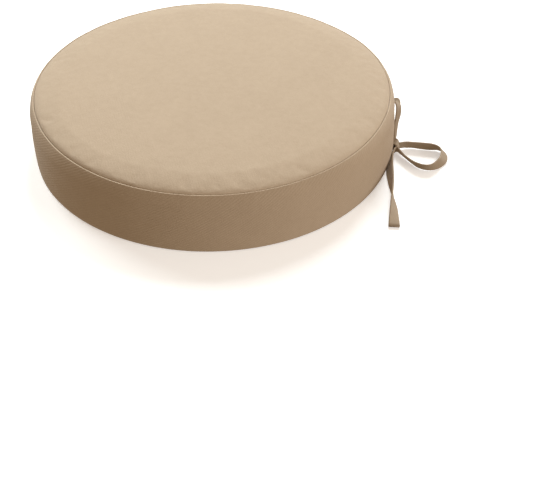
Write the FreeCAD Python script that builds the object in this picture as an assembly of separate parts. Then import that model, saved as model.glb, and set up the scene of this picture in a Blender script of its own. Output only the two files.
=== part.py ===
import FreeCAD, Part
import math
import os

# Round box-edge chair seat pad with two pairs of tie straps and a zip in its rear band.
# Millimetres. Origin on the floor under the pad's centre, +Z up, +Y to the rear (the zip).

# cover
pad_radius = 203.0          # outer face of the band
seam_height = 64.3          # top edge of the band
seam_radius = 195.9         # outer face of the band at its top edge
pad_height = 74.5           # crown of the top panel
cloth = 1.0                 # thickness of the cover cloth
turn_in = 10.5              # height of the seam allowances inside the cover
band_straight_low = 12.0    # the band's face is upright between these two heights
band_straight_high = 44.0
bottom_edge_radius = 202.3  # outer face of the band at its bottom edge
bottom_bend = (202.85, 6.0)  # the band's face halfway round its bottom edge
shoulder = (186.3, 70.2)    # the top panel's face halfway between its crown and the seam
flange_radius = 197.6       # how far in the upright seams' allowances reach
upright_thread_radius = 199.6
tie_slot = (8.0, 13.0, 4.3) # opening for the straps: through the band, along it, upwards
tie_slot_low = 1.5

# rear zip panel
zip_panel_half = 38.0       # degrees each side of the rear
zip_height = 31.0
zip_gap_half = 4.5          # half the slit between the folded edges
fold_back = 8.0             # height of cloth folded back behind each of those edges
tape_inner, tape_outer = 200.1, 200.9
coil_inner, coil_outer = 199.5, 201.5
coil_half = 3.0             # coils reach this far above and below the zip's centre line
coil_slit_half = 0.5
slider_rest = 33.2          # degrees from the rear, at the closed end
slider_half_length = 5.5
slider_half_width = 4.0

# stuffing
foam_radius = 196.3
foam_low, foam_high = 5.5, 67.5
wadding_gap = 0.2

# tie straps
tie_angle = 52.0            # degrees each side of the rear
strap_width = 12.0
strap_thick = 1.8
strap_lift = 0.2            # a strap on its edge stands this far off the floor
neck_low = 1.7              # underside of the lower strap where it leaves the seam

thread_radius = 0.2
stitch_radius = 0.25

up = FreeCAD.Vector(0, 0, 1)
centre = FreeCAD.Vector(0, 0, 0)


def vector(point):
    """Point of the radius-height plane."""
    return FreeCAD.Vector(point[0], 0, point[1])


def section(start, *steps):
    """Closed face in the radius-height plane. A step is a point, or (middle, point) for an arc."""
    edges, here, closing = [], vector(start), vector(start)
    for step in steps:
        if isinstance(step[0], tuple):
            there = vector(step[1])
            edges.append(Part.Arc(here, vector(step[0]), there).toShape())
        else:
            there = vector(step)
            edges.append(Part.makeLine(here, there))
        here = there
    if here.distanceToPoint(closing) > 1e-6:
        edges.append(Part.makeLine(here, closing))
    return Part.Face(Part.Wire(edges))


def block(low_r, high_r, low_z, high_z):
    return section((low_r, low_z), (high_r, low_z), (high_r, high_z), (low_r, high_z))


def turned(face, start=0.0, end=360.0):
    """Solid of a section turned about the pad's axis, between two angles from +X."""
    solid = face.revolve(centre, up, end - start)
    solid.rotate(centre, up, start)
    return solid


def rear_turned(face, low, high):
    """As turned, with the angles counted from the rear, positive towards +X."""
    return turned(face, 90.0 - high, 90.0 - low)


def joined(shapes):
    solid = shapes[0].multiFuse(shapes[1:]) if len(shapes) > 1 else shapes[0]
    return solid.removeSplitter()


def write(name, shape):
    shape.exportStep("parts/%s.step" % name)
    print("%-20s %9.1f mm3, %d solid(s), %s" % (
        name, shape.Volume, len(shape.Solids), "valid" if shape.isValid() else "NOT VALID"))


def mirrored(shape):
    return shape.mirror(centre, FreeCAD.Vector(1, 0, 0))


# ---- cover ----

def bend(inset):
    """Middle and end of the band's inward bend, on its outer face or inset from it."""
    drop = pad_radius - seam_radius
    rise = seam_height - band_straight_high
    radius = (drop ** 2 + rise ** 2) / (2 * drop)
    turn = math.asin(rise / radius)
    hub = pad_radius - radius
    points = []
    for part in (0.5, 1.0):
        angle = turn * part
        points.append((hub + (radius - inset) * math.cos(angle),
                       band_straight_high + (radius - inset) * math.sin(angle)))
    return points


top_allowance_outer = seam_radius - 1.7     # face of the top panel's allowance
band_allowance_inner = seam_radius - 1.2    # face of the band's top allowance
bottom_allowance_inner = bottom_edge_radius - 1.8
bottom_panel_radius = bottom_edge_radius - 2.3


def crown(height):
    """Points of the gently falling crown, from its flat middle out to the shoulder."""
    drops = ((40.0, 0.0), (95.0, 0.4), (138.0, 1.0), (172.0, 1.9))
    return [(radius, height - drop) for radius, drop in drops]


def top_panel():
    edge, low = top_allowance_outer, seam_height - turn_in
    outer, inner = crown(pad_height), crown(pad_height - cloth)
    return turned(section(
        (0, pad_height - cloth), (0, pad_height), *outer,
        (shoulder, (edge, seam_height)),
        (edge, low), (edge - cloth, low), (edge - cloth, seam_height - 0.4),
        ((shoulder[0] - 0.6, shoulder[1] - cloth), inner[-1]), *inner[-2::-1]))


def bottom_panel():
    edge = bottom_panel_radius
    return turned(section(
        (0, 0), (edge - 2.0, 0), (edge, 1.0), (edge, turn_in), (edge - cloth, turn_in),
        (edge - cloth, 1.6), (edge - 2.4, cloth), (0, cloth)))


def band_top(low):
    """Outline steps from the band's outer face at height low, over its top edge, to its inner face."""
    outer_mid, outer_end = bend(0.0)
    inner_mid = bend(cloth)[0]
    allowance = band_allowance_inner
    inner_end = (seam_radius + 0.1, seam_height - 2.3)
    hang = seam_height - turn_in
    return [(pad_radius, band_straight_high), (outer_mid, outer_end),
            (allowance, seam_height), (allowance, hang), (allowance + cloth, hang), inner_end,
            (inner_mid, (pad_radius - cloth, band_straight_high)), (pad_radius - cloth, low)]


def band_bottom():
    """Outline steps from the band's inner face, under its bottom edge, to its outer face."""
    inner = bottom_allowance_inner
    return [(pad_radius - cloth, band_straight_low),
            ((bottom_bend[0] - cloth, bottom_bend[1]), (bottom_edge_radius - 0.6, 2.0)),
            (inner + cloth, 1.6), (inner + cloth, turn_in), (inner, turn_in), (inner, 0.5),
            (bottom_edge_radius - 0.5, 0.5), (bottom_edge_radius, 1.0),
            (bottom_bend, (pad_radius, band_straight_low))]


upright_thread_room = 0.3
upright_low = band_straight_low + 1.0       # ends of the upright seams' allowances
upright_high = band_straight_high - 1.0


def upright_flange(side, low, high):
    """Seam allowance turned in beside an upright seam. side is +1 in front of it, -1 behind."""
    near, far = (math.degrees(d / pad_radius) for d in (upright_thread_room, upright_thread_room + cloth))
    face = block(flange_radius, pad_radius - cloth / 2, low, high)
    pair = []
    for end in (-1, 1):
        angles = sorted(end * (zip_panel_half + side * d) for d in (near, far))
        pair.append(rear_turned(face, *angles))
    return pair


def front_band():
    steps = band_top(band_straight_high - 1.0) + band_bottom()
    start, end = zip_panel_half, 360.0 - zip_panel_half
    shell = rear_turned(section((pad_radius, band_straight_low + 1.0), *steps), start, end)
    band = joined([shell] + upright_flange(1, upright_low, upright_high))
    corner = FreeCAD.Vector(pad_radius - tie_slot[0] + 2.0, -tie_slot[1] / 2, tie_slot_low)
    slot = Part.makeBox(*tie_slot, corner)
    slot.rotate(centre, up, 90.0 - tie_angle)
    return band.cut(slot).cut(mirrored(slot))


def rear_band_upper():
    fold, inside = zip_height + zip_gap_half, pad_radius - 2 * cloth
    steps = band_top(fold + fold_back) + [(inside, fold + fold_back), (inside, fold)]
    shell = rear_turned(section((pad_radius, fold), *steps), -zip_panel_half, zip_panel_half)
    return joined([shell] + upright_flange(-1, fold, upright_high))


def rear_band_lower():
    fold, inside = zip_height - zip_gap_half, pad_radius - 2 * cloth
    back = [(inside, fold), (inside, fold - fold_back), (pad_radius - cloth, fold - fold_back)]
    steps = back + band_bottom()
    shell = rear_turned(section((pad_radius, fold), *steps), -zip_panel_half, zip_panel_half)
    return joined([shell] + upright_flange(-1, upright_low, fold))


# ---- stuffing ----

def foam_core():
    r, low, high = foam_radius, foam_low, foam_high
    return turned(section(
        (0, low), (r - 5.0, low), ((r - 1.5, low + 1.5), (r, low + 5.0)), (r, 45.0),
        (r - 4.3, 53.0), (r - 4.3, high - 8.0), ((r - 6.6, high - 2.3), (r - 12.0, high)), (0, high)))


def wadding_top():
    low, high = foam_high + wadding_gap, pad_height - cloth - wadding_gap
    return turned(section(
        (0, low), (182.0, low), (181.0, 69.4), ((177.5, 70.7), crown(high)[-1]),
        *crown(high)[-2::-1], (0, high)))


def wadding_bottom():
    low, high = cloth + wadding_gap, foam_low - wadding_gap
    return turned(section((0, low), (194.0, low), (196.0, low + 1.5), (194.0, high), (0, high)))


# ---- thread ----

def thread_ring(radius, height):
    return Part.makeTorus(radius, thread_radius, FreeCAD.Vector(0, 0, height))


def upright_seam_thread():
    rods = []
    for side in (-1, 1):
        angle = math.radians(90.0 - side * zip_panel_half)
        foot = FreeCAD.Vector(math.cos(angle), math.sin(angle), 0) * upright_thread_radius + up * upright_low
        rods.append(Part.makeCylinder(thread_radius, upright_high - upright_low, foot))
    return Part.makeCompound(rods)


def zip_stitch(side):
    """Row of topstitching along one side of the zip, lying on the band's face."""
    hub = vector((pad_radius + stitch_radius + 0.02, zip_height + side * 8.0))
    ring = Part.makeCircle(stitch_radius, hub, FreeCAD.Vector(0, 1, 0))
    return rear_turned(Part.Face(Part.Wire(ring)), -zip_panel_half + 0.5, zip_panel_half - 0.5)


# ---- zip ----

def zip_strip(inner, outer, near, far, half_angle, side):
    low, high = sorted((zip_height + side * near, zip_height + side * far))
    return rear_turned(block(inner, outer, low, high), -half_angle, half_angle)


tape_end = zip_panel_half - 0.5
stop_start = slider_rest + math.degrees(slider_half_length / pad_radius) + 0.15
stop_end = stop_start + 0.9     # degrees, as the other zip angles


def zip_tape(side):
    return zip_strip(tape_inner, tape_outer, coil_half, coil_half + 12.0, tape_end, side)


def zip_coil(side):
    """One coil of teeth, its end turns swallowed by the stops."""
    return zip_strip(coil_inner, coil_outer, coil_slit_half, coil_half, stop_start - 0.02, side)


def zip_top_stop():
    """Two clamps, one on each coil's end, at the closed end."""
    clamps = []
    for side in (-1, 1):
        low, high = sorted((zip_height + side * coil_slit_half, zip_height + side * coil_half))
        clamps.append(rear_turned(block(coil_inner - 0.2, coil_outer + 0.2, low, high), stop_start, stop_end))
    return Part.makeCompound(clamps)


def zip_bottom_stop():
    """One clamp across both coils, at the open end."""
    low, high = zip_height - coil_half, zip_height + coil_half
    return rear_turned(block(coil_inner - 0.2, coil_outer + 0.2, low, high), -stop_end, -stop_start)


plate_outer = (202.2, 203.4)
plate_inner = (197.6, 198.8)
bridge_top = 207.4
bridge_under = 206.4
pivot_radius = 204.9


def slider_part(low_r, high_r, low_z, high_z, start, end):
    """Block of the slider between two distances along the zip from the slider's middle."""
    angles = [90.0 - math.degrees(d / pad_radius) for d in (end, start)]
    return turned(block(low_r, high_r, zip_height + low_z, zip_height + high_z), *angles)


def at_slider(shape):
    shape.rotate(centre, up, -slider_rest)
    return shape


def zip_slider():
    long, wide, lip = slider_half_length, slider_half_width, 0.7
    pieces = [slider_part(low, high, -wide, wide, -long, long) for low, high in (plate_outer, plate_inner)]
    for low_z, high_z in ((-wide, lip - wide), (wide - lip, wide)):
        pieces.append(slider_part(plate_outer[0] - lip, plate_outer[0], low_z, high_z, -long, long))
        pieces.append(slider_part(plate_inner[1], plate_inner[1] + lip, low_z, high_z, -long, long))
    pieces.append(slider_part(plate_inner[1], plate_outer[0], -0.25, 0.25, long - 2.2, long))
    for x in (-4.6, 3.4):
        pieces.append(Part.makeBox(1.2, bridge_top - 203.0, 2.0, FreeCAD.Vector(x, 203.0, zip_height - 1.0)))
    pieces.append(Part.makeBox(9.2, bridge_top - bridge_under, 2.0,
                               FreeCAD.Vector(-4.6, bridge_under, zip_height - 1.0)))
    return at_slider(joined(pieces))


def zip_pull():
    """Flat tab whose end bar turns in the slider's bridge."""
    length, width, thick, bar = 24.0, 7.0, 1.2, 0.9
    tab = Part.makeBox(length + bar, thick, width,
                       FreeCAD.Vector(-length, pivot_radius - thick / 2, zip_height - width / 2))
    corners = [e for e in tab.Edges if e.BoundBox.XMax < -length + 0.1 and e.BoundBox.YLength > 0.5]
    tab = tab.makeFillet(2.4, corners)
    window = Part.makeBox(7.0 - bar, 4.0, 3.6, FreeCAD.Vector(-7.0, pivot_radius - 2.0, zip_height - 1.8))
    grip = Part.makeCylinder(1.6, 4.0, FreeCAD.Vector(4.5 - length, pivot_radius - 2.0, zip_height),
                             FreeCAD.Vector(0, 1, 0))
    return at_slider(tab.cut(window).cut(grip))


# ---- tie straps ----
# Route points of the right-hand pair. x runs outwards from the band's face where the straps
# leave the bottom seam, y from there towards the rear, z up.

long_loop = [(4.0, 0.5), (24.0, -2.0), (42.0, -6.0), (56.0, -11.0), (61.5, -26.0), (54.0, -41.0),
             (43.0, -49.0), (29.0, -43.0), (17.0, -29.0), (9.0, -14.0), (3.5, -4.5)]
front_tail = [(2.5, -4.0), (2.0, -32.0), (-0.5, -60.0), (2.0, -92.0), (3.0, -120.0), (5.5, -148.0)]
short_loop = [(6.5, 8.0), (7.5, 22.0), (11.5, 34.0), (12.8, 43.0), (10.2, 49.6), (5.2, 51.0),
              (2.3, 45.5), (2.0, 31.0), (2.6, 16.0), (2.3, 5.0)]
rear_tail = [(3.0, 0.0), (0.8, 28.0), (-3.0, 56.0), (-9.0, 84.0), (-22.0, 112.0), (-36.0, 138.0),
             (-58.0, 160.0)]


def rounded_route(points):
    """Straight runs joined by tangent arcs, as (start, end, hub or None, signed radius) in the plane."""
    route, here = [], FreeCAD.Vector(*points[0])
    for before, corner, after in zip(points, points[1:], points[2:]):
        a, c, b = (FreeCAD.Vector(*p) for p in (before, corner, after))
        into, out = (c - a).normalize(), (b - c).normalize()
        turn = math.atan2(into.x * out.y - into.y * out.x, into.dot(out))
        back = 0.45 * min((c - a).Length, (b - c).Length)
        radius = back / math.tan(turn / 2)
        first, last = c - into * back, c + out * back
        hub = first + FreeCAD.Vector(-into.y, into.x, 0) * radius
        route += [(here, first, None, 0.0), (first, last, hub, radius)]
        here = last
    route.append((here, FreeCAD.Vector(*points[-1]), None, 0.0))
    return route


def route_length(route):
    total = 0.0
    for start, end, hub, radius in route:
        chord = (end - start).Length
        total += chord if hub is None else 2 * abs(radius) * math.asin(chord / 2 / abs(radius))
    return total


def ribbon(points, width, name):
    """Strap of the given width standing on its edge along a route, as a solid from z = 0."""
    route = rounded_route(points)
    radii = [abs(radius) for _, _, hub, radius in route if hub is not None]
    print("%-20s %6.1f mm long, radii %s" % (name, route_length(route), ", ".join("%.0f" % r for r in radii)))
    sides = []
    for offset in (strap_thick / 2, -strap_thick / 2):
        edges = []
        for start, end, hub, radius in route:
            if hub is None:
                along = (end - start).normalize()
                shift = FreeCAD.Vector(-along.y, along.x, 0) * offset
                edges.append(Part.makeLine(start + shift, end + shift))
            else:
                scale = (radius - offset) / radius
                near, far = (hub + (p - hub) * scale for p in (start, end))
                middle = (near + far) * 0.5 - hub
                middle = hub + middle.normalize() * abs(radius - offset)
                edges.append(Part.Arc(near, middle, far).toShape())
        sides.append(edges)
    left, right = sides
    caps = [Part.makeLine(left[k].Vertexes[k].Point, right[k].Vertexes[k].Point) for k in (0, -1)]
    outline = Part.Wire(Part.__sortEdges__(left + right + caps))
    return Part.Face(outline).extrude(up * width)


def on_floor(points, name):
    strap = ribbon(points, strap_width, name)
    strap.translate(up * strap_lift)
    return strap


def against_band(points, start_y, name):
    """Strap whose route lies in the upright plane through the tie, its width towards the rear."""
    strap = ribbon(points, strap_width, name)
    strap.rotate(centre, FreeCAD.Vector(1, 0, 0), 90.0)
    strap.translate(FreeCAD.Vector(0, start_y + strap_width, 0))
    return strap


def neck(level, reach):
    """The strap's flat end, from inside the seam to the knot."""
    low = neck_low + level * (strap_thick + 0.2)
    return Part.makeBox(2.0 + reach, strap_width, strap_thick, FreeCAD.Vector(-2.0, -strap_width / 2, low))


def knot():
    wrap = Part.makeBox(9.6, 14.0, 11.5, FreeCAD.Vector(0.4, -10.5, 0.3))
    return wrap.makeFillet(2.4, wrap.Edges)


def tie_pair():
    """Straps of the right-hand bow: the long loop with the front tail, the short loop with the rear one."""
    lower = joined([neck(0, 8.0), on_floor(long_loop, "long loop"), on_floor(front_tail, "front tail")])
    upper = joined([neck(1, 6.0), knot(), against_band(short_loop, -3.0, "short loop"),
                    on_floor(rear_tail, "rear tail")])
    for strap in (lower, upper):
        strap.translate(FreeCAD.Vector(pad_radius, 0, 0))
        strap.rotate(centre, up, 90.0 - tie_angle)
    return lower, upper


def main():
    os.makedirs("parts", exist_ok=True)
    write("top_panel", top_panel())
    write("bottom_panel", bottom_panel())
    write("front_band", front_band())
    write("rear_band_upper", rear_band_upper())
    write("rear_band_lower", rear_band_lower())
    write("foam_core", foam_core())
    write("wadding_top", wadding_top())
    write("wadding_bottom", wadding_bottom())
    write("top_seam_thread", thread_ring(seam_radius - 1.45, seam_height - 4.0))
    write("bottom_seam_thread", thread_ring(bottom_edge_radius - 2.05, 8.0))
    write("upright_seam_thread", upright_seam_thread())
    for side, where in ((1, "upper"), (-1, "lower")):
        write("zip_stitch_" + where, zip_stitch(side))
        write("zip_tape_" + where, zip_tape(side))
        write("zip_coil_" + where, zip_coil(side))
    write("zip_top_stop", zip_top_stop())
    write("zip_bottom_stop", zip_bottom_stop())
    write("zip_slider", zip_slider())
    write("zip_pull", zip_pull())
    for name, strap in zip("ab", tie_pair()):
        write("right_tie_" + name, strap)
        write("left_tie_" + name, mirrored(strap))


main()
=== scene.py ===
# A round seat pad that ties to a chair: boxed cover with a zip behind, foam and wadding inside, two bows
import math
import bpy
from mathutils import Matrix, Vector, noise


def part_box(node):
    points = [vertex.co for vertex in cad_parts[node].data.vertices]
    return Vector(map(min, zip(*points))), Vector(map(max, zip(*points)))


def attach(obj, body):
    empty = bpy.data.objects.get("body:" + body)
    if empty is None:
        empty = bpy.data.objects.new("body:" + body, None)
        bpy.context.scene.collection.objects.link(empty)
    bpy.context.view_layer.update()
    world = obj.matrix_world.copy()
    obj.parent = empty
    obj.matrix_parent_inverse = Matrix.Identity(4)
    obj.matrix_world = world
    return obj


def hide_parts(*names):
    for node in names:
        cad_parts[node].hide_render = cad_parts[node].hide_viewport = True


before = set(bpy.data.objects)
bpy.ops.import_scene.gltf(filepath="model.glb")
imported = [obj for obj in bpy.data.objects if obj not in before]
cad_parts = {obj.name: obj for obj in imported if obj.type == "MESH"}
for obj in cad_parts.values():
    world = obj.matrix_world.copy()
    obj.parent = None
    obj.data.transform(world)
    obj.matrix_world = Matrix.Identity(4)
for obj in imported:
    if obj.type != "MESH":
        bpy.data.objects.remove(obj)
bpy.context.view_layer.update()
scene = bpy.context.scene
scene.view_settings.view_transform = "Standard"

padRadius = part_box("front_band")[1].x
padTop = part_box("top_panel")[1].z
print("frame loaded, pad radius", round(padRadius, 4))

# camera
camera = {
    "lens": 63.6,  # on a 36 mm wide sensor
    "azimuth": 46.0,  # from the front towards the right
    "elevation": 33.5,
    "distance": 5.5 * padRadius,
    "aimHeight": 0.0324,
    "yaw": 3.31,
    "pitch": 7.61,
    "roll": 1.9,
}


def turn(degrees, axis):
    return Matrix.Rotation(math.radians(degrees), 4, axis)


def makeCamera():
    data = bpy.data.cameras.new("camera")
    data.lens = camera["lens"]
    data.clip_end = 100
    eye = bpy.data.objects.new("camera", data)
    scene.collection.objects.link(eye)
    tilt = math.radians(camera["elevation"])
    away = Vector((0, -math.cos(tilt), math.sin(tilt))) * camera["distance"]
    spot = turn(camera["azimuth"], "Z") @ (away + Vector((0, 0, camera["aimHeight"])))
    look = turn(camera["azimuth"], "Z") @ turn(90 - camera["elevation"], "X")
    look = look @ turn(-camera["yaw"], "Y") @ turn(-camera["pitch"], "X") @ turn(-camera["roll"], "Z")
    eye.matrix_world = Matrix.Translation(spot) @ look
    scene.camera = eye


makeCamera()

# shader nodes: sums and products of sockets read as Python


class Socket:
    def __init__(self, tree, out):
        self.tree = tree
        self.out = out

    def maths(self, operation, *values):
        return self.tree.add("ShaderNodeMath", {"operation": operation}, dict(enumerate(values)))

    def __add__(self, other):
        return self.maths("ADD", self, other)

    def __radd__(self, other):
        return self.maths("ADD", other, self)

    def __sub__(self, other):
        return self.maths("SUBTRACT", self, other)

    def __rsub__(self, other):
        return self.maths("SUBTRACT", other, self)

    def __mul__(self, other):
        return self.maths("MULTIPLY", self, other)

    def __rmul__(self, other):
        return self.maths("MULTIPLY", other, self)

    def sine(self):
        return self.maths("SINE", self)

    def clamp(self):
        return self.tree.add("ShaderNodeClamp", {}, {0: self})


class Tree:
    def __init__(self, tree):
        self.tree = tree
        tree.nodes.clear()

    def add(self, kind, settings, values, out=0):
        node = self.tree.nodes.new(kind)
        for name, value in settings.items():
            setattr(node, name, value)
        for name, value in values.items():
            if isinstance(value, Socket):
                self.tree.links.new(value.out, node.inputs[name])
            else:
                node.inputs[name].default_value = value
        return Socket(self, node.outputs[out]) if len(node.outputs) else node

    def mix(self, factor, first, second):
        first = first if isinstance(first, Socket) else (*first, 1)
        second = second if isinstance(second, Socket) else (*second, 1)
        return self.add("ShaderNodeMix", {"data_type": "RGBA"}, {0: factor, 6: first, 7: second}, out=2)

    def place(self):
        where = self.add("ShaderNodeTexCoord", {}, {}, out=3)
        parts = self.tree.nodes.new("ShaderNodeSeparateXYZ")
        self.tree.links.new(where.out, parts.inputs[0])
        return where, [Socket(self, part) for part in parts.outputs]

    def noise(self, where, size, detail=2, rough=0.5):
        values = {"Vector": where, "Scale": 1 / size, "Detail": detail, "Roughness": rough}
        return self.add("ShaderNodeTexNoise", {}, values)

    def principled(self, values):
        shader = self.add("ShaderNodeBsdfPrincipled", {}, values)
        self.add("ShaderNodeOutputMaterial", {}, {"Surface": shader})


def newMaterial(name):
    material = bpy.data.materials.new(name)
    material.use_nodes = True
    return material, Tree(material.node_tree)


# cloth: beige canvas, a fine twill, with soft mottling and small slubs
cloth = {
    "light": (0.470, 0.365, 0.262),
    "dark": (0.400, 0.305, 0.214),
    "twillRound": 250,  # lines round the band
    "twillUp": 322,  # lines per metre of height
    "thread": 0.0011,
    "mottle": 0.0065,
    "roughness": 0.9,
    "sheen": 0.15,
    "bump": 0.0005,
}


def clothMaterial(name, upright=False, tone=1.0, lines=0.10, grain=1.0):
    material, tree = newMaterial(name)
    where, (x, y, z) = tree.place()
    fullTurn = 2 * math.pi
    if upright:
        angle = x.maths("ARCTAN2", y, x)
        across, along = angle * padRadius, z
        twill = (angle * cloth["twillRound"] * -1 + z * (fullTurn * cloth["twillUp"])).sine()
    else:
        across, along = x, y
        twill = ((x * cloth["twillUp"] * 0.62 + y * cloth["twillUp"]) * fullTurn).sine()
    weave = (across * (fullTurn / cloth["thread"])).sine() * (along * (fullTurn / cloth["thread"])).sine()
    mottle = tree.noise(where, cloth["mottle"], 3, 0.6) - 0.5
    speck = tree.noise(where, 0.0016, 2, 0.7) - 0.5
    drift = tree.noise(where, 0.05, 1) - 0.5
    tint = 0.5 + twill * lines + mottle * (0.55 * grain) + speck * (0.5 * grain) + drift * 0.35 + weave * 0.03
    light = [tone * part for part in cloth["light"]]
    dark = [tone * part for part in cloth["dark"]]
    height = twill * (2.2 * lines) + weave * 0.25 + speck * 0.6 + mottle * 0.5
    normal = tree.add("ShaderNodeBump", {}, {"Strength": 0.5, "Distance": cloth["bump"], "Height": height})
    tree.principled({
        "Base Color": tree.mix(tint.clamp(), dark, light),
        "Roughness": (cloth["roughness"] - speck * 0.1).clamp(),
        "Specular IOR Level": 0.2,
        "Sheen Weight": cloth["sheen"],
        "Sheen Roughness": 0.5,
        "Normal": normal,
    })
    return material


def plainMaterial(name, light, dark, size, roughness, metallic=0.0, bump=0.0002, specular=0.4):
    material, tree = newMaterial(name)
    where = tree.place()[0]
    grain = tree.noise(where, size, 4, 0.6)
    normal = tree.add("ShaderNodeBump", {}, {"Strength": 0.4, "Distance": bump, "Height": grain})
    tree.principled({
        "Base Color": tree.mix(grain, dark, light),
        "Roughness": (roughness + (grain - 0.5) * 0.2).clamp(),
        "Metallic": metallic,
        "Specular IOR Level": specular,
        "Normal": normal,
    })
    return material


panelCloth = clothMaterial("panelCloth", lines=0.012, grain=1.5)
bandCloth = clothMaterial("bandCloth", upright=True, lines=0.12, grain=1.2)
strapCloth = clothMaterial("strapCloth", tone=0.78, lines=0.06, grain=0.8)
threadYarn = plainMaterial("threadYarn", (0.52, 0.43, 0.33), (0.40, 0.32, 0.23), 0.0012, 0.7)
tapeWeave = plainMaterial("tapeWeave", (0.46, 0.37, 0.28), (0.37, 0.29, 0.21), 0.0009, 0.85, bump=0.0004)
zipNylon = plainMaterial("zipNylon", (0.50, 0.42, 0.33), (0.44, 0.36, 0.28), 0.003, 0.42)
zipMetal = plainMaterial("zipMetal", (0.62, 0.60, 0.57), (0.50, 0.47, 0.44), 0.002, 0.34, metallic=1.0)
foamCells = plainMaterial("foamCells", (0.86, 0.83, 0.72), (0.70, 0.66, 0.54), 0.0014, 0.95, bump=0.0008)
fibreFill = plainMaterial("fibreFill", (0.90, 0.90, 0.88), (0.78, 0.78, 0.76), 0.003, 0.97, bump=0.0012)
print("materials made")


def addMesh(name, points, faces, material, smooth=True):
    mesh = bpy.data.meshes.new(name)
    mesh.from_pydata([tuple(point) for point in points], [], faces)
    mesh.validate()
    for face in mesh.polygons:
        face.use_smooth = smooth
    mesh.materials.append(material)
    piece = bpy.data.objects.new(name, mesh)
    scene.collection.objects.link(piece)
    return piece


# ties: two straps a side, knotted in a bow just outside the band
# each row is a point of the route, the way the strap's width lies there, and how much of the width is open
tie = {
    "angle": 38.0,  # of the tie's outward axis, from the right towards the rear
    "width": 0.012,
    "thickness": 0.0017,
    "hem": 0.009,  # length of the doubled end
    "hemPlump": 1.45,
    "leastOpen": 0.45,
    "sway": 0.0004,
    "swayPerMetre": 55,
    "length": 0.305,
}

loopStrap = [
    ((-0.0015, 0.0000, 0.0026), (0.0, 1.0, 0.0), 0.9),
    ((0.0045, -0.0060, 0.0050), (-0.3, 0.6, 0.7), 0.7),
    ((0.0060, -0.0110, 0.0060), (0.0, 0.0, 1.0), 0.55),
    ((0.0150, -0.0080, 0.0062), (0.0, -0.25, 0.95), 0.85),
    ((0.0240, -0.0080, 0.0062), (0.0, -0.4, 0.9), 0.95),
    ((0.0340, -0.0092, 0.0062), (0.0, -0.3, 0.95), 0.95),
    ((0.0440, -0.0100, 0.0062), (0.0, -0.3, 0.95), 1.0),
    ((0.0530, -0.0110, 0.0062), (-0.25, -0.5, 0.8), 1.0),
    ((0.0590, -0.0180, 0.0060), (-0.6, -0.3, 0.7), 1.0),
    ((0.0585, -0.0310, 0.0056), (-0.7, 0.1, 0.7), 1.0),
    ((0.0510, -0.0430, 0.0060), (-0.2, 0.1, 1.0), 1.0),
    ((0.0410, -0.0500, 0.0058), (0.0, -0.5, 0.9), 1.0),
    ((0.0300, -0.0480, 0.0058), (-0.25, -0.45, 0.85), 1.0),
    ((0.0200, -0.0380, 0.0056), (-0.5, -0.3, 0.8), 0.95),
    ((0.0120, -0.0260, 0.0056), (-0.45, -0.3, 0.85), 0.85),
    ((0.0055, -0.0140, 0.0060), (0.0, 0.0, 1.0), 0.55),
    ((-0.0010, -0.0300, 0.0058), (0.4, 0.0, 0.9), 0.8),
    ((-0.0030, -0.0500, 0.0054), (0.6, 0.0, 0.8), 1.0),
    ((-0.0018, -0.0730, 0.0056), (0.45, 0.0, 0.9), 1.0),
    ((-0.0004, -0.0960, 0.0062), (0.0, 0.0, 1.0), 1.0),
    ((0.0007, -0.1200, 0.0046), (-0.75, 0.0, 0.65), 1.0),
    ((0.0004, -0.1490, 0.0020), (-1.0, 0.0, 0.0), 1.0),
]

knotStrap = [
    ((-0.0015, 0.0000, 0.0046), (0.0, 1.0, 0.0), 0.9),
    ((0.0018, -0.0080, 0.0094), (0.0, 1.0, 0.2), 0.8),
    ((0.0056, -0.0120, 0.0108), (0.1, 1.0, 0.1), 0.8),
    ((0.0092, -0.0125, 0.0062), (0.2, 1.0, 0.0), 0.8),
    ((0.0052, -0.0125, 0.0014), (0.1, 1.0, 0.0), 0.8),
    ((0.0014, -0.0120, 0.0054), (0.0, 1.0, 0.0), 0.75),
    ((0.0034, -0.0070, 0.0118), (0.3, 1.0, 0.0), 0.5),
    ((0.0034, -0.0030, 0.0195), (0.4, 0.9, 0.0), 0.6),
    ((0.0034, -0.0010, 0.0290), (0.45, 0.9, 0.0), 0.85),
    ((0.0052, 0.0010, 0.0400), (0.5, 0.85, -0.1), 1.0),
    ((0.0052, 0.0060, 0.0485), (0.4, 0.8, -0.4), 1.0),
    ((0.0018, 0.0150, 0.0495), (0.2, 0.8, -0.5), 1.0),
    ((-0.0004, 0.0200, 0.0430), (-0.1, 1.0, -0.1), 1.0),
    ((0.0004, 0.0190, 0.0300), (-0.1, 1.0, 0.0), 0.9),
    ((0.0009, 0.0110, 0.0170), (0.0, 1.0, 0.1), 0.8),
    ((0.0040, -0.0040, 0.0075), (0.0, 0.4, 0.9), 0.6),
    ((0.0016, 0.0280, 0.0060), (0.1, 0.0, 1.0), 0.9),
    ((-0.0030, 0.0560, 0.0060), (0.4, 0.1, 0.9), 1.0),
    ((-0.0090, 0.0840, 0.0044), (0.75, 0.2, 0.6), 1.0),
    ((-0.0220, 0.1120, 0.0024), (0.9, 0.4, 0.1), 1.0),
    ((-0.0360, 0.1380, 0.0018), (0.85, 0.5, 0.0), 1.0),
    ((-0.0580, 0.1600, 0.0018), (0.75, 0.65, 0.0), 1.0),
]


def tieFrame(side):
    spot = turn(tie["angle"], "Z") @ Matrix.Translation((padRadius, 0, 0))
    return Matrix.Diagonal((side, 1, 1, 1)) @ spot


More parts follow.
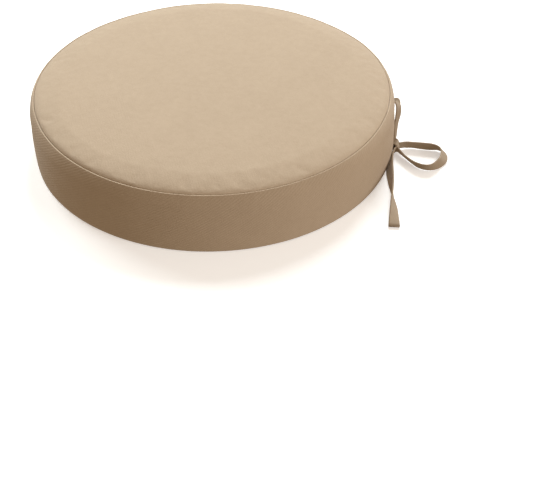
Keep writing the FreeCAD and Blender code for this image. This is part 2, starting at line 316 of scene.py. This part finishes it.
def splinePoints(controls):
    data = bpy.data.curves.new("route", "CURVE")
    data.dimensions = "3D"
    data.resolution_u = 12
    spline = data.splines.new("NURBS")
    spline.points.add(len(controls) - 1)
    for point, control in zip(spline.points, controls):
        point.co = (*control, 1)
    spline.order_u = 3
    spline.use_endpoint_u = True
    holder = bpy.data.objects.new("route", data)
    scene.collection.objects.link(holder)
    mesh = bpy.data.meshes.new_from_object(holder)
    points = [vertex.co.copy() for vertex in mesh.vertices]
    bpy.data.objects.remove(holder)
    bpy.data.meshes.remove(mesh)
    return points


def strapSection():
    half = tie["thickness"] / 2
    outline = [(1.0, 0.0), (0.985, 0.6), (0.93, 0.95), (0.8, 1.0), (0.4, 0.86), (0.0, 0.82)]
    upper = outline + [(-across, up) for across, up in outline[-2::-1]]
    lower = [(across, -up) for across, up in upper[-2:0:-1]]
    return [(across, up * half) for across, up in upper + lower]


def makeStrap(name, rows, spot):
    controls = [spot @ Vector(point) for point, way, share in rows]
    edges = []
    for point, way, share in rows:
        reach = Vector(way).normalized() * (tie["width"] / 2 * share)
        edges.append(spot @ (Vector(point) + reach))
    centres, rims = splinePoints(controls), splinePoints(edges)
    section = strapSection()
    points = []
    for index, centre in enumerate(centres):
        before, after = centres[max(index - 1, 0)], centres[min(index + 1, len(centres) - 1)]
        run = (after - before).normalized()
        side = rims[index] - centre
        share = max(side.length / (tie["width"] / 2), tie["leastOpen"])
        side = (side - run * side.dot(run)).normalized() * (tie["width"] / 2 * share)
        face = run.cross(side).normalized()
        sway = noise.noise(centre * tie["swayPerMetre"]) * tie["sway"]
        hem = tie["hemPlump"] if (centres[-1] - centre).length < tie["hem"] else 1.0
        plump = hem * (1.5 - 0.5 * share)
        for across, up in section:
            curl = sway * (1 - across * across)
            points.append(centre + side * across + face * (up * plump + curl))
    count = len(section)
    faces = [list(range(count))[::-1], list(range(len(points) - count, len(points)))]
    for ring in range(len(centres) - 1):
        for step in range(count):
            first, second = ring * count + step, ring * count + (step + 1) % count
            faces.append([first, second, second + count, first + count])
    if spot.determinant() < 0:
        faces = [face[::-1] for face in faces]
    strap = addMesh(name, points, faces, strapCloth)
    return strap, centres


def makeTies():
    for side, word in ((1, "right"), (-1, "left")):
        spot = tieFrame(side)
        for letter, rows in (("a", loopStrap), ("b", knotStrap)):
            strap, path = makeStrap(f"{word}Strap{letter.upper()}", rows, spot)
            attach(strap, "pad")
            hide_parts(f"{word}_tie_{letter}")
    print("ties made")


makeTies()

# cover: five cloth pieces, each folded in at its seams
cover = {
    "cloth": 0.0008,
    "columns": 384,
    "gridRadius": 0.160,
    "crownDrop": 0.0030,  # at the seam, from the whole crown
    "shoulderDrop": 0.0047,  # at the seam, from the rounded shoulder besides
    "shoulderStart": 0.178,
    "shoulderPower": 2.4,
    "fullPower": 2.2,  # added where the shoulder is fullest
    "fullAngle": -104.0,
    "fullWidth": 38.0,
    "seamRadius": 0.1942,
    "lipRadius": 0.1953,
    "lipTop": 0.0671,
    "lipRoll": 0.0010,
    "allowance": (0.0625, 0.0595, 0.0545),  # heights down the seam allowances
    "wallTop": (0.2014, 0.0540),  # radius and height where the wall bends in to the seam
    "bend": ((0.2010, 0.0562), (0.2003, 0.0584), (0.1994, 0.0607), (0.1984, 0.0630), (0.1974, 0.0650)),
    "leanFrom": 0.0300,
    "sag": 0.0030,
    "sagAngle": 38.0,
    "sagWidth": 15.0,
    "sagTop": 0.060,
    "bottomHeight": 0.0002,
    "topHeldFrom": 0.1934,  # the simulation leaves the cloth at the seams where it is
    "bandHeldWithin": 0.1972,
    "waves": ((0.0006, 0.09, 3.0), (0.00025, 0.022, 9.0)),  # height, length and seed of each
    "bulgeAngles": (60.0, -159.0),
    "bulgeWidth": 36.0,
    "bulge": 0.0032,
    "bulgeFrom": 0.048,  # no bulge below this height, and all of it above the next
    "bulgeFull": 0.062,
    "zipHalf": math.radians(38.0),
    "zipUpper": 0.0355,
    "zipLower": 0.0265,
}


def crown(radius, angle=0.0):
    # a gentle dome, then a shoulder that is rounder in front on the left than elsewhere
    drop = cover["crownDrop"] * (radius / cover["seamRadius"]) ** 2.6
    start = cover["shoulderStart"]
    if radius > start:
        away = (math.degrees(angle) - cover["fullAngle"] + 180) % 360 - 180
        power = cover["shoulderPower"] + cover["fullPower"] * math.exp(-(away / cover["fullWidth"]) ** 2)
        drop += cover["shoulderDrop"] * ((radius - start) / (cover["seamRadius"] - start)) ** power
    return padTop - drop


def ringSpot(angle, radius, height):
    return Vector((math.cos(angle) * radius, math.sin(angle) * radius, height))


def discPoints(radius, cells, height):
    # a square grid pulled out into a disc, so that no cell is a sliver
    points = []
    for row in range(cells + 1):
        for column in range(cells + 1):
            across, up = 2 * column / cells - 1, 2 * row / cells - 1
            reach = max(abs(across), abs(up))
            if reach == 0:
                angle = 0.0
            elif abs(across) >= abs(up):
                angle = math.pi / 4 * up / across + (math.pi if across < 0 else 0)
            else:
                angle = math.pi / 2 - math.pi / 4 * across / up + (math.pi if up < 0 else 0)
            points.append(ringSpot(angle, reach * radius, height(reach * radius)))
    return points


def makePanel(name, grid, height, outline, material, flip=False):
    # a disc grid, then rings down over the seam
    cells = cover["columns"] // 4
    points = discPoints(grid, cells, height)
    faces = []
    for row in range(cells):
        for column in range(cells):
            first = row * (cells + 1) + column
            faces.append([first, first + 1, first + cells + 2, first + cells + 1])
    side = cells + 1
    rim = [row * side + cells for row in range(cells // 2, cells)]
    rim += [cells * side + column for column in range(cells, 0, -1)]
    rim += [row * side for row in range(cells, 0, -1)]
    rim += [column for column in range(0, cells)]
    rim += [row * side + cells for row in range(0, cells // 2)]
    last = rim
    for radius, drop in outline:
        ring = []
        for step in range(cover["columns"]):
            angle = 2 * math.pi * step / cover["columns"]
            ring.append(len(points))
            points.append(ringSpot(angle, radius, drop))
        for step in range(cover["columns"]):
            after = (step + 1) % cover["columns"]
            faces.append([last[step], ring[step], ring[after], last[after]])
        last = ring
    if flip:
        faces = [face[::-1] for face in faces]
    return addMesh(name, points, faces, material)


def makeBand(name, outline, start, end, material):
    # an upright strip from one angle to another, its ends turned in at the upright seams
    span = (end - start) * padRadius
    count = round(span / (2 * math.pi * padRadius) * cover["columns"])
    edge = (0.0002, 0.0005, 0.001, 0.002, 0.0035)
    steps = [part for part in edge] + [span * step / count for step in range(2, count - 1)]
    steps += [span - part for part in reversed(edge)]
    points, faces = [], []
    for step in steps:
        angle = start + step / padRadius
        near = min(step, span - step)
        pull = 0.0016 * math.exp(-near / 0.0007)
        for radius, height in outline:
            points.append(ringSpot(angle, radius - pull, height))
    rows = len(outline)
    for column in range(len(steps) - 1):
        for row in range(rows - 1):
            first = column * rows + row
            faces.append([first, first + rows, first + rows + 1, first + 1])
    return addMesh(name, points, faces, material)


def arc(centre, radius, start, end, count):
    return [
        (centre[0] + radius * math.cos(start + (end - start) * step / count),
         centre[1] + radius * math.sin(start + (end - start) * step / count))
        for step in range(count + 1)
    ]


def bandTop():
    # in at the bend, over the rolled lip, and down into the seam
    lip = (cover["lipRadius"], cover["lipTop"] - cover["lipRoll"])
    roll = arc(lip, cover["lipRoll"], math.radians(20), math.radians(180), 8)
    inner = lip[0] - cover["lipRoll"]
    down = [(inner, height) for height in (0.0640, *cover["allowance"])]
    return [cover["wallTop"]] + list(cover["bend"]) + roll + down


def bandBottom():
    # from the seam allowance inside, round the fold at the floor, up to the straight wall
    inner = [(0.2006, 0.0100), (0.2006, 0.0055), (0.2007, 0.0020)]
    fold = arc((0.2015, 0.0014), 0.0008, math.radians(180), math.radians(350), 6)
    wall = [(0.2026, 0.0035), (0.20285, 0.0065), (0.2030, 0.0110)]
    return inner + fold + wall


def wallRadius(height):
    # upright below, and leaning in a little towards the bend
    top = cover["wallTop"]
    share = max(0.0, (height - cover["leanFrom"]) / (top[1] - cover["leanFrom"]))
    return padRadius - (padRadius - top[0]) * share ** 1.6


def heights(low, high, count):
    levels = [low + (high - low) * step / count for step in range(1, count)]
    return [(wallRadius(level), level) for level in levels]


def zipFold(level, way):
    # a fold along the zip: out to the edge, round, and back behind it
    turnBack = arc((padRadius - 0.0009, level + way * 0.0009), 0.0009, 0.0, -way * math.pi, 6)
    return turnBack + [(padRadius - 0.0018, level + way * 0.004), (padRadius - 0.0018, level + way * 0.008)]


def inflate(pieces, frames=16):
    # pressure from inside, seams held; the cloth ends where the push and the weave balance
    for piece, setting in pieces:
        rests = [vertex.co.copy() for vertex in piece.data.vertices]
        held = piece.vertex_groups.new(name="seams")
        for index, point in enumerate(rests):
            if setting["pinned"](math.hypot(point.x, point.y), point.z, math.atan2(point.y, point.x)):
                held.add([index], 1.0, "REPLACE")
        modifier = piece.modifiers.new("cloth", "CLOTH")
        modifier.settings.quality = 5
        modifier.settings.mass = 0.3
        modifier.settings.tension_stiffness = 25
        modifier.settings.compression_stiffness = 25
        modifier.settings.shear_stiffness = 15
        modifier.settings.bending_stiffness = 2
        modifier.settings.use_pressure = True
        modifier.settings.uniform_pressure_force = setting["pressure"]
        modifier.settings.vertex_group_mass = "seams"
        modifier.settings.effector_weights.gravity = 0
        modifier.collision_settings.use_collision = False
        modifier.point_cache.frame_end = frames
    for step in range(1, frames + 1):
        scene.frame_set(step)
    graph = bpy.context.evaluated_depsgraph_get()
    for piece, setting in pieces:
        swollen = [vertex.co.copy() for vertex in piece.evaluated_get(graph).data.vertices]
        furthest = 0.0
        for vertex, point in zip(piece.data.vertices, swollen):
            move = point - vertex.co
            furthest = max(furthest, move.length)
            if move.length > setting["cap"]:
                move = move.normalized() * setting["cap"]
            vertex.co = vertex.co + move
        piece.modifiers.clear()
        piece.vertex_groups.clear()
        print("inflated", piece.name, "largest move", round(furthest * 1000, 2), "mm")
    scene.frame_set(1)


def roughen(piece, amount, size, seed):
    # slow waves in a filled cover, told by place so that neighbours agree at a seam
    for vertex in piece.data.vertices:
        point = vertex.co
        out = Vector((point.x, point.y, 0)) * (1 / padRadius)
        wave = noise.noise(Vector((point.x, point.y, point.z)) * (1 / size) + Vector((seed, 0, 0)))
        vertex.co = point + Vector((out.x, out.y, 0.6)) * (wave * amount)


def roundShoulder(piece):
    for vertex in piece.data.vertices:
        point = vertex.co
        radius = math.hypot(point.x, point.y)
        if cover["shoulderStart"] < radius < cover["seamRadius"] - 0.00005:
            point.z = crown(radius, math.atan2(point.y, point.x))


def slump(piece):
    # the side sags outward a little beside the right-hand tie
    for vertex in piece.data.vertices:
        point = vertex.co
        away = math.degrees(math.atan2(point.y, point.x)) - cover["sagAngle"]
        share = math.exp(-(away / cover["sagWidth"]) ** 2) * max(0.0, 1 - point.z / cover["sagTop"])
        out = Vector((point.x, point.y, 0)).normalized()
        vertex.co = point + out * (cover["sag"] * share)


def bulge(piece):
    # the stuffing pushes the upper edge outward at both ends of the rear
    for vertex in piece.data.vertices:
        point = vertex.co
        angle = math.degrees(math.atan2(point.y, point.x))
        side = 0.0
        for middle in cover["bulgeAngles"]:
            away = (angle - middle + 180) % 360 - 180
            side += math.exp(-(away / cover["bulgeWidth"]) ** 2)
        rise = (point.z - cover["bulgeFrom"]) / (cover["bulgeFull"] - cover["bulgeFrom"])
        inner = cover["gridRadius"]
        rim = (math.hypot(point.x, point.y) - inner) / (cover["seamRadius"] - inner)
        share = side * min(max(rise, 0.0), 1.0) * min(max(rim, 0.0), 1.0)
        vertex.co = point + Vector((point.x, point.y, 0)).normalized() * (cover["bulge"] * share)


def thicken(piece):
    shell = piece.modifiers.new("thickness", "SOLIDIFY")
    shell.thickness = cover["cloth"]
    shell.offset = -1
    shell.use_even_offset = False


def topRings():
    # even rings across the crown, closing up towards the seam
    rings = [cover["gridRadius"] + 0.002 * step for step in range(1, 12)]
    return rings + [0.184, 0.186, 0.1876, 0.189, 0.1902, 0.1912, 0.192, 0.1927, 0.1933, 0.1937, 0.194]


def makeCover():
    topOutline = [(radius, crown(radius)) for radius in topRings()]
    topOutline += [(cover["seamRadius"], height) for height in (0.0643, *cover["allowance"])]
    top = makePanel("topPanel", cover["gridRadius"], crown, topOutline, panelCloth)
    roundShoulder(top)
    flat = cover["bottomHeight"]
    bottomOutline = [(radius, flat) for radius in (0.165, 0.178, 0.188, 0.1945)]
    bottomOutline += [(0.1975, 0.0003), (0.1988, 0.0006), (0.1996, 0.0013), (0.2000, 0.0028)]
    bottomOutline += [(0.2001, 0.0060), (0.2001, 0.0100)]
    bottom = makePanel("bottomPanel", 0.150, lambda radius: flat, bottomOutline, panelCloth, flip=True)
    lower, upper = bandBottom(), bandTop()
    wall = heights(lower[-1][1], cover["wallTop"][1], 20)
    rear, half = math.pi / 2, cover["zipHalf"]
    front = makeBand("frontBand", lower + wall + upper, rear + half, rear + 2 * math.pi - half, bandCloth)
    upperFold = zipFold(cover["zipUpper"], 1)[::-1]
    upperWall = heights(cover["zipUpper"] + 0.0009, cover["wallTop"][1], 5)
    rearUpper = makeBand("rearBandUpper", upperFold + upperWall + upper, rear - half, rear + half, bandCloth)
    lowerWall = heights(lower[-1][1], cover["zipLower"] - 0.0009, 7)
    lowerFold = zipFold(cover["zipLower"], -1)
    rearLower = makeBand("rearBandLower", lower + lowerWall + lowerFold, rear - half, rear + half, bandCloth)

    def topPinned(radius, height, angle):
        return radius > cover["topHeldFrom"]

    def bandPinned(radius, height, angle):
        if height < 0.004 or radius < cover["bandHeldWithin"] or radius < 0.2007 and height < 0.03:
            return True
        return abs(abs(math.atan2(math.cos(angle), math.sin(angle))) - half) * padRadius < 0.0012

    def zipPinned(radius, height, angle):
        onZip = 0.022 < height < 0.040 or radius < 0.2022 and height < 0.045
        return onZip or bandPinned(radius, height, angle)

    inflate([
        (top, {"pinned": topPinned, "pressure": 1.2, "cap": 0.0012}),
        (front, {"pinned": bandPinned, "pressure": 1.2, "cap": 0.0008}),
        (rearUpper, {"pinned": zipPinned, "pressure": 1.0, "cap": 0.0006}),
        (rearLower, {"pinned": zipPinned, "pressure": 1.0, "cap": 0.0006}),
    ])
    nodes = {
        "top_panel": top,
        "front_band": front,
        "rear_band_upper": rearUpper,
        "rear_band_lower": rearLower,
        "bottom_panel": bottom,
    }
    for node, piece in nodes.items():
        if piece is not bottom:
            for amount, size, seed in cover["waves"]:
                roughen(piece, amount, size, seed)
            bulge(piece)
        if piece is front:
            slump(piece)
        thicken(piece)
        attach(piece, "pad")
        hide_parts(node)
    print("cover made")


makeCover()

# zip: two coils of teeth, tapes, stops, the slider and its pull
zipper = {
    "coilRadius": 0.2005,
    "reach": math.radians(34.8),
    "pitch": 0.0016,
    "wire": 0.00038,
    "stitch": 0.0031,
    "thread": 0.00028,
}


def tube(points, radius, sides, offset):
    # rings round a run of points, returned as points and faces counted from offset
    rings, faces = [], []
    for index, point in enumerate(points):
        before, after = points[max(index - 1, 0)], points[min(index + 1, len(points) - 1)]
        run = (after - before).normalized()
        across = run.orthogonal() if index == 0 else across - run * across.dot(run)
        across = across.normalized()
        other = run.cross(across)
        for side in range(sides):
            angle = 2 * math.pi * side / sides
            rings.append(point + (across * math.cos(angle) + other * math.sin(angle)) * radius)
    for index in range(len(points) - 1):
        for side in range(sides):
            first = offset + index * sides + side
            second = offset + index * sides + (side + 1) % sides
            faces.append([first, second, second + sides, first + sides])
    faces.append([offset + side for side in range(sides)][::-1])
    faces.append([offset + (len(points) - 1) * sides + side for side in range(sides)])
    return rings, faces


def makeCoil(name, node, head, back, shift):
    # one wire wound flat along its tape, its loops lying between the other coil's at the middle
    loops = int(2 * zipper["reach"] * zipper["coilRadius"] / zipper["pitch"]) - 1
    shape = 8
    wire = []
    for step in range(loops * shape):
        turned = 2 * math.pi * step / shape
        along = (step / shape + shift) * zipper["pitch"]
        angle = math.pi / 2 - zipper["reach"] + along / zipper["coilRadius"]
        level = (head + back) / 2 + (head - back) / 2 * math.cos(turned)
        wire.append(ringSpot(angle, zipper["coilRadius"] + 0.0006 * math.sin(turned), level))
    points, faces = tube(wire, zipper["wire"], 6, 0)
    finishPiece(addMesh(name, points, faces, zipNylon), "pad", node)


def makeStitches(name, node, level):
    points, faces = [], []
    reach = math.radians(37.5)
    count = int(2 * reach * padRadius / zipper["stitch"])
    for stitch in range(count):
        middle = math.pi / 2 - reach + (stitch + 0.5) * 2 * reach / count
        run = []
        for part in (-0.42, -0.25, 0.0, 0.25, 0.42):
            angle = middle + part * 2 * reach / count
            rise = 0.0003 - 0.0028 * part * part
            run.append(ringSpot(angle, padRadius + 0.0004 + rise, level))
        rings, sides = tube(run, zipper["thread"], 6, len(points))
        points += rings
        faces += sides
    finishPiece(addMesh(name, points, faces, threadYarn), "pad", node)


def finishPiece(piece, body, node):
    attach(piece, body)
    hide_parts(node)


makeCoil("coilUpper", "zip_coil_upper", 0.0308, 0.0338, 0.0)
makeCoil("coilLower", "zip_coil_lower", 0.0312, 0.0282, 0.5)
makeStitches("stitchesUpper", "zip_stitch_upper", 0.039)
makeStitches("stitchesLower", "zip_stitch_lower", 0.023)
print("zip made")


def dressNode(node, material):
    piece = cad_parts[node]
    piece.data.materials.clear()
    piece.data.materials.append(material)


for node, material in {
    "foam_core": foamCells,
    "wadding_top": fibreFill,
    "wadding_bottom": fibreFill,
    "top_seam_thread": threadYarn,
    "bottom_seam_thread": threadYarn,
    "upright_seam_thread": threadYarn,
    "zip_tape_upper": tapeWeave,
    "zip_tape_lower": tapeWeave,
    "zip_top_stop": zipMetal,
    "zip_bottom_stop": zipMetal,
    "zip_slider": zipMetal,
    "zip_pull": zipMetal,
}.items():
    dressNode(node, material)
print("inside and zip metal dressed")

# studio: white floor and backdrop, a low key on the right, a rim on the left behind, a high light behind
# azimuths are counted from the camera towards the right
studio = {
    "world": ((0.455, 0.363, 0.269), 1.0),
    "key": {
        "azimuth": 58, "elevation": 14, "size": 1.2, "distance": 2.5, "power": 27,
        "colour": (1.0, 1.0, 1.0),
    },
    "rim": {
        "azimuth": -140, "elevation": 32, "size": 1.2, "distance": 2.5, "power": 42,
        "colour": (0.87, 0.96, 1.0),
    },
    "top": {
        "azimuth": 164, "elevation": 44, "size": 2.4, "distance": 5.0, "power": 250,
        "colour": (0.88, 0.96, 1.0),
    },
    "floorWhite": 0.9,
    "floorGlow": 0.40,
    "floorHeight": -0.0003,
    "floorReach": 9,
    "backdropRadius": 14,
}


def emit(name, colour, strength):
    material, tree = newMaterial(name)
    glow = tree.add("ShaderNodeEmission", {}, {"Color": (*colour, 1), "Strength": strength})
    tree.add("ShaderNodeOutputMaterial", {}, {"Surface": glow})
    return material


def makeLight(name, setting):
    data = bpy.data.lights.new(name, "AREA")
    data.shape = "DISK"
    data.size = setting["size"]
    data.energy = setting["power"]
    data.color = setting["colour"]
    lamp = bpy.data.objects.new(name, data)
    scene.collection.objects.link(lamp)
    tilt = math.radians(setting["elevation"])
    ray = Vector((0, -math.cos(tilt), math.sin(tilt))) * setting["distance"]
    spot = turn(camera["azimuth"] + setting["azimuth"], "Z") @ ray
    lamp.location = spot
    lamp.rotation_euler = spot.to_track_quat("Z", "Y").to_euler()


def unlit(piece):
    # seen by the camera, and no part of the light on the pad
    piece.visible_diffuse = False
    piece.visible_glossy = False
    piece.visible_transmission = False
    piece.visible_shadow = False


def makeStudio():
    colour, strength = studio["world"]
    world = bpy.data.worlds.new("studio")
    scene.world = world
    world.use_nodes = True
    tree = Tree(world.node_tree)
    glow = tree.add("ShaderNodeBackground", {}, {"Color": (*colour, 1), "Strength": strength})
    tree.add("ShaderNodeOutputWorld", {}, {"Surface": glow})
    for name in ("key", "rim", "top"):
        makeLight(name, studio[name])
    material, tree = newMaterial("floorWhite")
    tree.principled({
        "Base Color": (*[studio["floorWhite"]] * 3, 1),
        "Roughness": 1.0,
        "Specular IOR Level": 0.0,
        "Emission Color": (1, 1, 1, 1),
        "Emission Strength": studio["floorGlow"],
    })
    reach, level = studio["floorReach"], studio["floorHeight"]
    corners = [(-reach, -reach, level), (reach, -reach, level), (reach, reach, level), (-reach, reach, level)]
    floor = addMesh("floor", corners, [[0, 1, 2, 3]], material, smooth=False)
    points, faces = [], []
    for row in range(13):
        for column in range(24):
            tilt, angle = math.pi * (row / 12 - 0.5), 2 * math.pi * column / 24
            way = Vector((math.cos(angle) * math.cos(tilt), math.sin(angle) * math.cos(tilt), math.sin(tilt)))
            points.append(way * studio["backdropRadius"])
    for row in range(12):
        for column in range(24):
            first, after = row * 24, (column + 1) % 24
            faces.append([first + column, first + 24 + column, first + 24 + after, first + after])
    backdrop = addMesh("backdrop", points, faces, emit("backdropWhite", (1, 1, 1), 1.0), smooth=False)
    for piece in (floor, backdrop):
        unlit(piece)
    print("studio made")


makeStudio()
